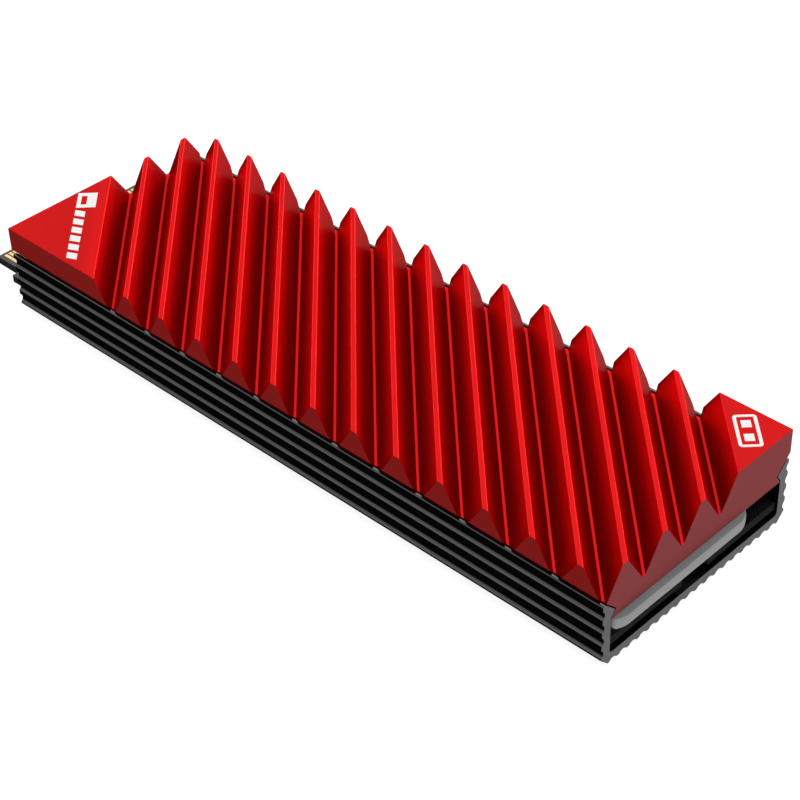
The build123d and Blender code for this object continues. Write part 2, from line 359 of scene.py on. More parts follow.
@dataclass(frozen=True)
class SawMarks:
    """Lines that a saw leaves on a cut end, with their scales in blobs per metre."""

    drift: float
    depth: float = 300.0
    climb: float = 900.0
    pitch: float = 9000.0
    slant: float = 2500.0
    height: float = 2.5 * MICRON
    grain: Grain = Grain(octaves=3.0, strength=0.65)

    def draw(self, sheet: Sheet, place: Sequence[Wire]) -> Wire:
        """Draws the lines.

        Args:
            sheet: The material's sheet.
            place: Position on the piece, as three wires.

        Returns:
            Noise from 0 to 1, drawn out along the saw's path.
        """
        x, y, z = place
        along = y * self.drift + z * self.climb
        over = z * self.pitch - y * self.slant
        return sheet.noise(sheet.vector(x * self.depth, along, over), self.grain)


@dataclass(frozen=True)
class RedAnodised(Finish):
    """Satin red anodised aluminium: milled grooves, extruded faces and duller sawn ends."""

    name: str = "red_anodised"
    tone: Colour = (0.61, 0.005, 0.006)
    # Painted shade: a darker copy of the red on the two corner flats, which catch less light than the
    # crests.
    corner_shade_tone: Colour = (0.48, 0.0045, 0.005)
    # Painted shade: a darker red on the faces that look sideways.
    side_shade_tone: Colour = (0.28, 0.009, 0.008)
    sawn_tone: Colour = (0.28, 0.052, 0.056)
    cloud_shade: float = 0.93
    # Painted shade: the red is darker down the grooves, down to this share at their bottoms.
    painted_groove_shade: float = 0.67
    sawn_shade: float = 0.86
    groove_depth: float = 3.05 * MM
    corner: Band = (26.0 * MM, 27.3 * MM)
    level: Band = (0.9, 0.98)
    cloudy: Band = (0.3, 0.7)
    clouds: Grain = Grain(70)
    fine: Grain = Grain(15000, 2.0, 0.6)
    milling: Spot = (9000, 160, 9000)
    drawing: Spot = (140, 8000, 8000)
    saw: SawMarks = SawMarks(drift=700.0)
    fine_height: float = 0.9 * MICRON
    mark_height: float = 1.1 * MICRON
    metal: float = 0.94
    sawn_dullness: float = 0.8
    side_dullness: float = 0.62
    roughness: float = 0.38
    mark_roughness: float = 0.08
    cloud_roughness: float = 0.04
    level_gloss: float = 0.12
    sawn_roughness: float = 0.1
    coat: float = 0.1
    coat_roughness: float = 0.2
    edge_tint: Colour = (1.0, 0.22, 0.22)

    def dye_and_shade(self, sheet: Sheet, z: Wire, slow: Wire, corner: Wire, level: Wire) -> Wire:
        """Draws the dye of the milled and level faces, with painted shade down the grooves and on the corner
        flats.

        Args:
            sheet: The material's sheet.
            z: Height on the piece.
            slow: Slow clouds that the dye's depth follows.
            corner: 1 on the flats at the heatsink's two uncut corners.
            level: 1 on faces that look up or down.

        Returns:
            A colour with painted shade, darker down the grooves and on the corner flats.
        """
        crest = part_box("finned_heatsink")[1].z
        dye_and_shade = sheet.tint(slow.rise(*self.cloudy), self.tone, shaded(self.tone, self.cloud_shade))
        dye_and_shade = sheet.tint(corner, dye_and_shade, self.corner_shade_tone)
        lit = z.rise(crest - self.groove_depth, crest).larger(level)
        return sheet.tint(lit, shaded(self.tone, self.painted_groove_shade), dye_and_shade)

    def draw(self, sheet: Sheet) -> None:
        """Draws tool marks along the grooves, die lines along the extrusion and saw marks on the ends, with
        painted shade down the grooves, on the corner flats and on the faces that look sideways.

        Args:
            sheet: The material's sheet.
        """
        x, y, z = sheet.place()
        nx, ny, nz = sheet.facing()
        sawn, side, level = abs(nx).rise(*FACING), abs(ny).rise(*FACING), abs(nz).rise(*self.level)
        across = (x + y) * ROOT_HALF
        along = (x - y) * ROOT_HALF
        where = sheet.vector(x, y, z)
        slow = sheet.noise(where, self.clouds)
        milled = sheet.noise(sheet.stretched((across, along, z), self.milling), LINES)
        drawn = sheet.noise(sheet.stretched((x, y, z), self.drawing), LINES)
        marks = milled * (1 - level) + drawn * level
        cut = self.saw.draw(sheet, (x, y, z))
        relief = sheet.bump(sheet.noise(where, self.fine), self.fine_height)
        relief = sheet.bump(marks * (1 - sawn), self.mark_height, relief)
        relief = sheet.bump(cut * sawn, self.saw.height, relief)
        # Painted shade is laid on the dye here: darker down the grooves and on the corner flats.
        dye_and_shade = self.dye_and_shade(sheet, z, slow, abs(across).rise(*self.corner) * level, level)
        # Painted shade: the faces that look sideways get the darker side tone.
        dye_and_shade = sheet.tint(side, dye_and_shade, self.side_shade_tone)
        dulled = sheet.tint(cut, self.sawn_tone, shaded(self.sawn_tone, self.sawn_shade))
        satin = self.roughness + self.mark_roughness * marks + self.cloud_roughness * slow
        sheet.surface(
            Base_Color=sheet.tint(sawn, dye_and_shade, dulled),
            Metallic=self.metal - self.sawn_dullness * sawn - self.side_dullness * side,
            Roughness=satin - self.level_gloss * level + self.sawn_roughness * sawn,
            Coat_Weight=self.coat * (1 - sawn),
            Coat_Roughness=self.coat_roughness,
            Specular_Tint=self.edge_tint,
            Normal=relief,
        )


@dataclass(frozen=True)
class BlackAnodised(Finish):
    """Satin black anodised extrusion with fine die lines and greyer sawn ends."""

    name: str = "black_anodised"
    tone: Colour = (0.0012, 0.0012, 0.0013)
    sawn_tone: Colour = (0.15, 0.15, 0.15)
    cloud_shade: float = 1.5
    sawn_shade: float = 0.85
    clouds: Grain = Grain(55)
    fine: Grain = Grain(14000, 2.0, 0.6)
    drawing: Spot = (90, 9000, 9000)
    saw: SawMarks = SawMarks(drift=600.0)
    fine_height: float = 0.8 * MICRON
    line_height: float = 1.4 * MICRON
    bare_metal: float = 0.1
    roughness: float = 0.12
    line_roughness: float = 0.07
    cloud_roughness: float = 0.04
    sawn_roughness: float = 0.35
    index: float = 1.8

    def draw(self, sheet: Sheet) -> None:
        """Draws die lines along the extrusion, and saw marks on the ends.

        Args:
            sheet: The material's sheet.
        """
        x, y, z = sheet.place()
        nx, _, _ = sheet.facing()
        sawn = abs(nx).rise(*FACING)
        where = sheet.vector(x, y, z)
        slow = sheet.noise(where, self.clouds)
        drawn = sheet.noise(sheet.stretched((x, y, z), self.drawing), LINES)
        cut = self.saw.draw(sheet, (x, y, z))
        relief = sheet.bump(sheet.noise(where, self.fine), self.fine_height)
        relief = sheet.bump(drawn * (1 - sawn), self.line_height, relief)
        relief = sheet.bump(cut * sawn, self.saw.height, relief)
        black = sheet.tint(slow, self.tone, shaded(self.tone, self.cloud_shade))
        grey = sheet.tint(cut, self.sawn_tone, shaded(self.sawn_tone, self.sawn_shade))
        satin = self.roughness + self.line_roughness * drawn + self.cloud_roughness * slow
        sheet.surface(
            Base_Color=sheet.tint(sawn, black, grey),
            Metallic=self.bare_metal * sawn,
            Roughness=satin + self.sawn_roughness * sawn,
            IOR=self.index,
            Normal=relief,
        )


@dataclass(frozen=True)
class Silicone(Finish):
    """Soft matt silicone filled with mineral powder, with painted shade on its faces that look up or down,
    darker than its cut rim.
    """

    name: str = "grey_pad"
    # Painted shade: the faces that look up or down get this darker tone.
    shaded_face_tone: Colour = (0.17, 0.18, 0.18)
    cut: Colour = (0.235, 0.24, 0.24)
    dust: Colour = (0.36, 0.37, 0.37)
    flat_facing: Band = (0.5, 0.8)
    filler: float = 5200.0
    speck: Band = (0.34, 0.12)
    speck_share: float = 0.3
    grain: Grain = Grain(5200, 4.0, 0.65)
    patches: Grain = Grain(130, 3.0, 0.55)
    dusty: Band = (0.35, 0.68)
    dust_share: float = 0.12
    rolling: Spot = (500, 1700, 1700)
    roller_height: float = 12 * MICRON
    grain_height: float = 7 * MICRON
    roughness: float = 0.72
    grain_roughness: float = 0.16
    specular: float = 0.3
    sheen: float = 0.15
    sheen_roughness: float = 0.5

    def draw(self, sheet: Sheet) -> None:
        """Draws the faces in painted shade and the cut rim, the filler's specks, a faint roller texture and
        dusty patches.

        Args:
            sheet: The material's sheet.
        """
        x, y, z = sheet.place()
        _, _, nz = sheet.facing()
        where = sheet.vector(x, y, z)
        specks = sheet.cells(where, self.filler).rise(*self.speck)
        grain = sheet.noise(where, self.grain)
        patches = sheet.noise(where, self.patches).rise(*self.dusty)
        roller = sheet.noise(sheet.stretched((x, y, z), self.rolling), Grain())
        # Painted shade: faces that look up or down are darker than the rim.
        body = sheet.tint(abs(nz).rise(*self.flat_facing), self.cut, self.shaded_face_tone)
        body = sheet.tint(patches * self.dust_share, body, self.dust)
        relief = sheet.bump(roller, self.roller_height)
        relief = sheet.bump(grain, self.grain_height, relief)
        sheet.surface(
            Base_Color=sheet.tint(specks * self.speck_share, body, self.dust),
            Roughness=self.roughness + self.grain_roughness * grain,
            Specular_IOR_Level=self.specular,
            Sheen_Weight=self.sheen,
            Sheen_Roughness=self.sheen_roughness,
            Normal=relief,
        )


@dataclass(frozen=True)
class SolderMask(Finish):
    """Black solder mask over copper tracks, with vias and a laminate edge."""

    name: str = "board"
    mask: Colour = (0.0045, 0.005, 0.0055)
    over_copper: Colour = (0.011, 0.0125, 0.013)
    laminate: Colour = (0.006, 0.0055, 0.004)
    ply_shade: float = 1.7
    ply: float = 0.1 * MM
    ply_edge: Band = (0.1, 0.4)
    track_pitch: float = 0.32 * MM
    track_edge: Band = (0.28, 0.2)
    track_height: float = 14 * MICRON
    regions: float = 300.0
    crosswise: Band = (0.45, 0.46)
    slanted: Band = (0.6, 0.61)
    bundles: Grain = Grain(420, 1.0)
    bundled: Band = (0.42, 0.46)
    planes: Grain = Grain(160, 0.0)
    filled: Band = (0.6, 0.61)
    vias: float = 620.0
    via_edge: Band = (0.16, 0.12)
    via_fields: Grain = Grain(330, 0.0)
    drilled: Band = (0.5, 0.52)
    grain: Grain = Grain(9000)
    grain_height: float = 1.5 * MICRON
    face: Band = (0.4, 0.6)
    roughness: float = 0.7
    face_gloss: float = 0.36
    grain_roughness: float = 0.08
    coat: float = 0.2
    specular: float = 0.35

    def copper(self, sheet: Sheet, x: Wire, y: Wire) -> Wire:
        """Draws the copper under the mask.

        Args:
            sheet: The material's sheet.
            x: Position along the card.
            y: Position across the card.

        Returns:
            1 on the copper: bundles of tracks that turn from region to region, filled planes and vias.
        """
        where = sheet.vector(x, y, 0.0)
        region, turn, _ = sheet.parts(sheet.cells(where, self.regions, "Color"))
        crosswise = region.rise(*self.crosswise)
        slanted = turn.rise(*self.slanted)
        slant = (x + y) * ROOT_HALF
        straight = x * (1 - crosswise) + y * crosswise
        coordinate = straight * (1 - slanted) + slant * slanted
        saw = (coordinate / self.track_pitch) % 1.0
        track = abs(saw - 0.5).rise(*self.track_edge)
        bundle = sheet.noise(where, self.bundles).rise(*self.bundled)
        plane = sheet.noise(where, self.planes).rise(*self.filled)
        via_field = sheet.noise(where, self.via_fields).rise(*self.drilled)
        via = sheet.cells(where, self.vias).rise(*self.via_edge) * via_field
        return (track * bundle).larger(plane).larger(via)

    def draw(self, sheet: Sheet) -> None:
        """Draws the mask over its copper on the card's faces, and the plies on its edge.

        Args:
            sheet: The material's sheet.
        """
        x, y, z = sheet.place()
        _, _, nz = sheet.facing()
        copper = self.copper(sheet, x, y)
        grain = sheet.noise(sheet.vector(x, y, z), self.grain)
        face = abs(nz).rise(*self.face)
        plies = abs((z / self.ply) % 1.0 - 0.5).rise(*self.ply_edge)
        edge = sheet.tint(plies, self.laminate, shaded(self.laminate, self.ply_shade))
        relief = sheet.bump(copper * face, self.track_height)
        relief = sheet.bump(grain, self.grain_height, relief)
        sheet.surface(
            Base_Color=sheet.tint(face, edge, sheet.tint(copper, self.mask, self.over_copper)),
            Roughness=self.roughness - self.face_gloss * face + self.grain_roughness * grain,
            Coat_Weight=self.coat * face,
            Specular_IOR_Level=self.specular,
            Normal=relief,
        )


@dataclass(frozen=True)
class Metal(Finish):
    """A bare or plated metal: gold, solder or nickel."""

    name: str
    tone: Colour
    worn: Colour
    roughness: float
    spread: float
    stretch: Spot = UNSTRETCHED
    grain: Grain = Grain(6000, 3.0, 0.6)
    grain_height: float = 1.5 * MICRON
    stains: Grain = Grain(420, 3.0, 0.55)
    stained: Band = (0.35, 0.75)

    def draw(self, sheet: Sheet) -> None:
        """Draws a stretched grain and slow patches of tarnish.

        Args:
            sheet: The material's sheet.
        """
        place = sheet.place()
        grain = sheet.noise(sheet.stretched(place, self.stretch), self.grain)
        stain = sheet.noise(sheet.vector(*place), self.stains)
        sheet.surface(
            Base_Color=sheet.tint(stain.rise(*self.stained), self.tone, self.worn),
            Metallic=1.0,
            Roughness=self.roughness + self.spread * (grain + stain - 1),
            Normal=sheet.bump(grain, self.grain_height),
        )


@dataclass(frozen=True)
class Moulded(Finish):
    """A moulded, pressed or sintered body, with its grain and specks."""

    name: str
    tone: Colour
    fleck: Colour
    roughness: float
    scale: float = 7000.0
    flecks: float = 0.25
    grain_height: float = 3 * MICRON
    spot: Band = (0.3, 0.1)
    shades: Grain = Grain(260)
    shade: float = 0.82
    grain_roughness: float = 0.14

    def draw(self, sheet: Sheet) -> None:
        """Draws the grain, scattered flecks and slow shade changes.

        Args:
            sheet: The material's sheet.
        """
        where = sheet.vector(*sheet.place())
        grain = sheet.noise(where, Grain(self.scale, 3.0, 0.6))
        slow = sheet.noise(where, self.shades)
        spots = sheet.cells(where, self.scale / 2).rise(*self.spot) * self.flecks
        body = sheet.tint(slow, self.tone, shaded(self.tone, self.shade))
        sheet.surface(
            Base_Color=sheet.tint(spots, body, self.fleck),
            Roughness=self.roughness + self.grain_roughness * (grain - 0.5),
            Normal=sheet.bump(grain, self.grain_height),
        )


@dataclass(frozen=True)
class GlazedChip(Finish):
    """Thick-film resistor: a black glazed top on a white ceramic body."""

    name: str = "resistor"
    glaze: Colour = (0.012, 0.012, 0.014)
    alumina: Colour = (0.62, 0.6, 0.55)
    alumina_shade: float = 0.8
    grain: Grain = Grain(9000, 3.0)
    grain_height: float = 2.5 * MICRON
    upward: Band = (0.4, 0.7)
    roughness: float = 0.62
    glaze_gloss: float = 0.4
    grain_roughness: float = 0.1

    def draw(self, sheet: Sheet) -> None:
        """Draws the glaze on upward faces, with the ceramic below it.

        Args:
            sheet: The material's sheet.
        """
        grain = sheet.noise(sheet.vector(*sheet.place()), self.grain)
        _, _, nz = sheet.facing()
        top = nz.rise(*self.upward)
        bare = sheet.tint(grain, self.alumina, shaded(self.alumina, self.alumina_shade))
        sheet.surface(
            Base_Color=sheet.tint(top, bare, self.glaze),
            Roughness=self.roughness - self.glaze_gloss * top + self.grain_roughness * grain,
            Normal=sheet.bump(grain, self.grain_height),
        )


@dataclass(frozen=True)
class LabelFilm(Finish):
    """Plain white film with a thin grey rule just inside its edge."""

    name: str = "label"
    film: Colour = (0.78, 0.78, 0.76)
    rule: Colour = (0.32, 0.33, 0.34)
    low: Point = (0.0, 0.0)
    high: Point = (0.0, 0.0)
    margin: float = 1.0 * MM
    line: float = 0.16 * MM
    line_core: float = 0.096 * MM
    paper: Grain = Grain(2600, 4.0, 0.6)
    paper_height: float = 4 * MICRON
    paper_shade: float = 0.93
    roughness: float = 0.32
    paper_roughness: float = 0.16
    coat: float = 0.25

    def draw(self, sheet: Sheet) -> None:
        """Draws the rule at one margin from the film's edge, over a faint paper grain.

        Args:
            sheet: The material's sheet.
        """
        x, y, z = sheet.place()
        middle = [(a + b) / 2 for a, b in zip(self.low, self.high)]
        reach = [(b - a) / 2 - self.margin for a, b in zip(self.low, self.high)]
        inside = (reach[0] - abs(x - middle[0])).smaller(reach[1] - abs(y - middle[1]))
        ruled = abs(inside).rise(self.line, self.line_core)
        paper = sheet.noise(sheet.vector(x, y, z), self.paper)
        film = sheet.tint(paper, self.film, shaded(self.film, self.paper_shade))
        sheet.surface(
            Base_Color=sheet.tint(ruled, film, self.rule),
            Roughness=self.roughness + self.paper_roughness * paper,
            Coat_Weight=self.coat,
            Normal=sheet.bump(paper, self.paper_height),
        )


@dataclass(frozen=True)
class PrintedInk(Finish):
    """White screen-printed ink, a little uneven in density."""

    name: str = "ink"
    tone: Colour = (0.88, 0.86, 0.85)
    thin_shade: float = 0.88
    thin: Band = (0.3, 0.8)
    screen: Grain = Grain(7000, 3.0, 0.6)
    screen_height: float = 3 * MICRON
    roughness: float = 0.5
    screen_roughness: float = 0.2

    def draw(self, sheet: Sheet) -> None:
        """Draws the screen's fine mesh and thin patches.

        Args:
            sheet: The material's sheet.
        """
        screen = sheet.noise(sheet.vector(*sheet.place()), self.screen)
        thin = screen.rise(*self.thin)
        sheet.surface(
            Base_Color=sheet.tint(thin, self.tone, shaded(self.tone, self.thin_shade)),
            Roughness=self.roughness + self.screen_roughness * screen,
            Normal=sheet.bump(screen, self.screen_height),
        )


@dataclass(frozen=True)
class StudioPaper(Finish):
    """Plain pale paper under the object, lit from behind so that shadows on it stay faint."""

    name: str = "studio_paper"
    tone: Colour = (0.3, 0.3, 0.3)
    tooth_shade: float = 0.985
    tooth: Grain = Grain(900, 3.0)
    roughness: float = 0.85
    specular: float = 0.1
    glow: float = 0.85

    def draw(self, sheet: Sheet) -> None:
        """Draws a faint tooth on a pale sheet.

        Args:
            sheet: The material's sheet.
        """
        tooth = sheet.noise(sheet.vector(*sheet.place()), self.tooth)
        sheet.surface(
            Base_Color=sheet.tint(tooth, self.tone, shaded(self.tone, self.tooth_shade)),
            Roughness=self.roughness,
            Specular_IOR_Level=self.specular,
            Emission_Color=WHITE,
            Emission_Strength=self.glow,
        )


GOLD = Metal("gold", (0.8, 0.56, 0.22), (0.7, 0.46, 0.17), 0.3, 0.16, stretch=(0.06, 1.0, 1.0))
BEADED = Grain(9000, 3.0, 0.6)
SOLDER = Metal("solder", (0.62, 0.63, 0.65), (0.45, 0.46, 0.48), 0.32, 0.25, UNSTRETCHED, BEADED, 4 * MICRON)
NICKEL = Metal("nickel", (0.58, 0.57, 0.54), (0.5, 0.49, 0.46), 0.34, 0.14, stretch=(1.0, 0.05, 1.0))
MOULD = Moulded("mould", (0.012, 0.012, 0.013), (0.05, 0.05, 0.052), 0.56)
SUBSTRATE = Moulded("substrate", (0.012, 0.045, 0.018), (0.03, 0.09, 0.04), 0.42, flecks=0.4)
CERAMIC = Moulded("ceramic", (0.36, 0.22, 0.12), (0.5, 0.36, 0.23), 0.5, flecks=0.5)
FERRITE = Moulded("ferrite", (0.06, 0.06, 0.065), (0.16, 0.16, 0.17), 0.62, 5000.0, 0.6, 6 * MICRON)
TANTALUM = Moulded("tantalum", (0.55, 0.3, 0.04), (0.66, 0.42, 0.1), 0.45)


class MeshWork:
    """A mesh being made, in metres in the row's frame."""

    def __init__(self) -> None:
        """Starts an empty mesh."""
        self.mesh = bmesh.new()

    def prism(self, outline: Sequence[Point], floor: float, height: float) -> None:
        """Adds an upright prism.

        Args:
            outline: Corners in order, counter-clockwise from above.
            floor: Level of its underside.
            height: Its thickness.
        """
        low = self.loop((x, y, floor) for x, y in outline)
        high = self.loop((x, y, floor + height) for x, y in outline)
        self.mesh.faces.new(low[::-1])
        self.mesh.faces.new(high)
        self.wall(low, high)

    def ring(self, outer: Sequence[Point], inner: Sequence[Point], floor: float, height: float) -> None:
        """Adds a flat ring between two outlines with the same number of corners.

        Args:
            outer: Outer corners, counter-clockwise from above.
            inner: Inner corners, in the same order.
            floor: Level of its underside.
            height: Its thickness.
        """
        levels = (floor, floor + height)
        out = [self.loop((x, y, z) for x, y in outer) for z in levels]
        into = [self.loop((x, y, z) for x, y in inner) for z in levels]
        self.wall(out[0], out[1])
        self.wall(into[1], into[0])
        self.wall(into[0], out[0])
        self.wall(out[1], into[1])

    def wall(self, first: Sequence[BMVert], second: Sequence[BMVert]) -> None:
        """Adds a closed band of faces from one loop of points to the next.

        Args:
            first: The first loop.
            second: The next loop, with as many points.
        """
        count = len(first)
        for i in range(count):
            j = (i + 1) % count
            self.mesh.faces.new((first[i], first[j], second[j], second[i]))

    def loop(self, points: Iterable[Spot]) -> list[BMVert]:
        """Adds a loop of points."""
        return [self.mesh.verts.new(point) for point in points]

    def piece(self, name: str, finish: Finish, body: Body, smooth: bool = False) -> Object:
        """Ends the mesh as a piece that rides on a body.

        Args:
            name: The piece's name.
            finish: What it is dressed in.
            body: The body that it moves with.
            smooth: Whether its faces are shaded smooth.

        Returns:
            The new object.
        """
        bmesh.ops.recalc_face_normals(self.mesh, faces=self.mesh.faces)
        made = self.shown(name, finish)
        if smooth:
            made.data.shade_smooth()
        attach(made, body.value)
        return made

    def shown(self, name: str, finish: Finish) -> Object:
        """Ends the mesh as an object of the scene.

        Args:
            name: The object's name.
            finish: What it is dressed in.

        Returns:
            The new object.
        """
        data = bpy.data.meshes.new(name)
        self.mesh.to_mesh(data)
        self.mesh.free()
        data.materials.append(finish.material())
        made = bpy.data.objects.new(name, data)
        bpy.context.scene.collection.objects.link(made)
        return made


def rectangle(low: Point, high: Point) -> list[Point]:
    """Corners of an upright rectangle, counter-clockwise."""
    return [low, (high[0], low[1]), high, (low[0], high[1])]


def round_rectangle(low: Point, high: Point, radius: float, steps: int = 5) -> list[Point]:
    """Outline of a rectangle with round corners.

    Args:
        low: Lowest corner.
        high: Highest corner.
        radius: Corner radius.
        steps: Points on each corner, less one.

    Returns:
        The outline, counter-clockwise, with the same count of points for any radius.
    """
    centres = [
        (high[0] - radius, high[1] - radius, 0.0),
        (low[0] + radius, high[1] - radius, 90.0),
        (low[0] + radius, low[1] + radius, 180.0),
        (high[0] - radius, low[1] + radius, 270.0),
    ]
    outline = []
    for cx, cy, start in centres:
        for i in range(steps + 1):
            turn = math.radians(start + 90.0 * i / steps)
            outline.append((cx + radius * math.cos(turn), cy + radius * math.sin(turn)))
    return outline


def disc(centre: Point, radius: float, steps: int = 24) -> list[Point]:
    """Outline of a circle, counter-clockwise."""
    turns = [2 * math.pi * i / steps for i in range(steps)]
    return [(centre[0] + radius * math.cos(t), centre[1] + radius * math.sin(t)) for t in turns]


def dress(finish: Finish, *nodes: str) -> None:
    """Puts a finish on carried-over nodes.

    Args:
        finish: The finish.
        nodes: Names of the nodes.
    """
    for name in nodes:
        for patch in frame["nodes"][name].material_slots:
            patch.material = finish.material()
        log.info("%s: dressed in %s", name, finish.name)


def ease(width: float, *nodes: str) -> None:
    """Rounds the sharp edges of carried-over nodes a little, leaving their meshes as they are.

    Args:
        width: Width of the rounding.
        nodes: Names of the nodes.
    """
    for name in nodes:
        node = frame["nodes"][name]
        node.modifiers.new("join", "WELD").merge_threshold = MICRON
        rounding = node.modifiers.new("edge", "BEVEL")
        rounding.width = width
        rounding.segments = 2
        rounding.limit_method = "ANGLE"
        rounding.angle_limit = SHARP_EDGE


@dataclass
class PressedSheet:
    """A silicone sheet pressed between two flat faces, so that its rim swells between them."""

    name: str
    node: str
    body: Body
    corner: float
    trim: float = 0.0
    droop: float = 0.0
    free: Band = (1.0, 1.1)
    rim: float = 0.05 * MM
    waver: float = 0.03 * MM
    spacing: float = 0.8 * MM
    least_corner: float = 0.2 * MM
    corner_steps: int = 12
    flat_from: float = 1.3 * MM
    shoulder: float = 0.11 * MM
    shoulder_share: float = 0.05
    swell_at: tuple[float, ...] = (0.18, 0.34, 0.5, 0.66, 0.82)
    near_end: Point = (0.9, 0.8)
    ripples: tuple[Spot, ...] = ((900.0, 0.0, 1.3), (-410.0, 1300.0, 0.0), (0.0, 530.0, 0.4))

    def outline(self, inset: float) -> list[Point]:
        """Outline of the sheet at one level.

        Args:
            inset: How far it is pulled in from the widest level.

        Returns:
            Points, as many at every inset, that waver a little as a cut edge does.
        """
        low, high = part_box(self.node)
        side = low.y - self.trim
        corner = max(self.corner - inset, self.least_corner)
        full = round_rectangle((low.x, side), (high.x, high.y), self.corner, self.corner_steps)
        drawn_in = round_rectangle(
            (low.x + inset, side + inset),
            (high.x - inset, high.y - inset),
            corner,
            self.corner_steps,
        )
        points = []
        for i, start in enumerate(drawn_in):
            following = (i + 1) % len(drawn_in)
            end = drawn_in[following]
            parts = max(1, round(math.dist(full[i], full[following]) / self.spacing))
            for k in range(parts):
                share = k / parts
                x = start[0] + (end[0] - start[0]) * share
                y = start[1] + (end[1] - start[1]) * share
                points.append((x, max(y, low.y + inset)))
        middle = (low + high) / 2
        reach = (high - low) / 2
        return [self._pulled(point, middle, reach) for point in points]

    def _ripple(self, x: float, y: float) -> float:
        """Height of the ripples, each its turns in x and y and its start, from 0 to 1."""
        heights = [math.sin(a * x + b * y + start) for a, b, start in self.ripples]
        return sum(heights) / (2 * len(heights)) + 0.5

    def _pulled(self, point: Point, middle: Vector, reach: Vector) -> Point:
        """Pulls a point near the rim inwards by a share of the waver.

        Args:
            point: The point.
            middle: Middle of the sheet's node.
            reach: Half of that node's size.

        Returns:
            The point's new place.
        """
        x, y = point
        pull = self.waver * self._ripple(x, y)
        return (
            x - math.copysign(pull, x - middle.x) * (abs(x - middle.x) > reach.x * self.near_end[0]),
            y - math.copysign(pull, y - middle.y) * (abs(y - middle.y) > reach.y * self.near_end[1]),
        )

    def profile(self) -> list[Point]:
        """Lists the rim's levels, upwards.

        Returns:
            How far in each level is, and its share of the thickness.
        """
        swelling = [(self.rim * (1 - math.sin(math.pi * t)), t) for t in self.swell_at]
        under = [(self.flat_from, 0.0), (self.shoulder, 0.0), (self.rim, self.shoulder_share)]
        over = [(inset, 1 - share) for inset, share in under[::-1]]
        return under + swelling + over

    def level(self, x: float, z: float) -> float:
        """Height of a point, lower where the sheet's end hangs free."""
        share = min(max((x - self.free[0]) / (self.free[1] - self.free[0]), 0.0), 1.0)
        return z - self.droop * share * share * (3 - 2 * share)

    def build(self) -> Object:
        """Builds the sheet in place of its node.

        Returns:
            The sheet.
        """
        low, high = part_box(self.node)
        thick = high.z - low.z
        work = MeshWork()
        loops = []
        for inset, share in self.profile():
            level = low.z + thick * share
            loops.append(work.loop((x, y, self.level(x, level)) for x, y in self.outline(inset)))
        for below, above in zip(loops, loops[1:]):
            work.wall(below, above)
        work.mesh.faces.new(loops[0][::-1])
        work.mesh.faces.new(loops[-1])
        sheet = work.piece(self.name, Silicone(), self.body, smooth=True)
        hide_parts(self.node)
        log.info("%s: %d points, pressed to %.2f mm", self.name, len(sheet.data.vertices), thick / MM)
        return sheet


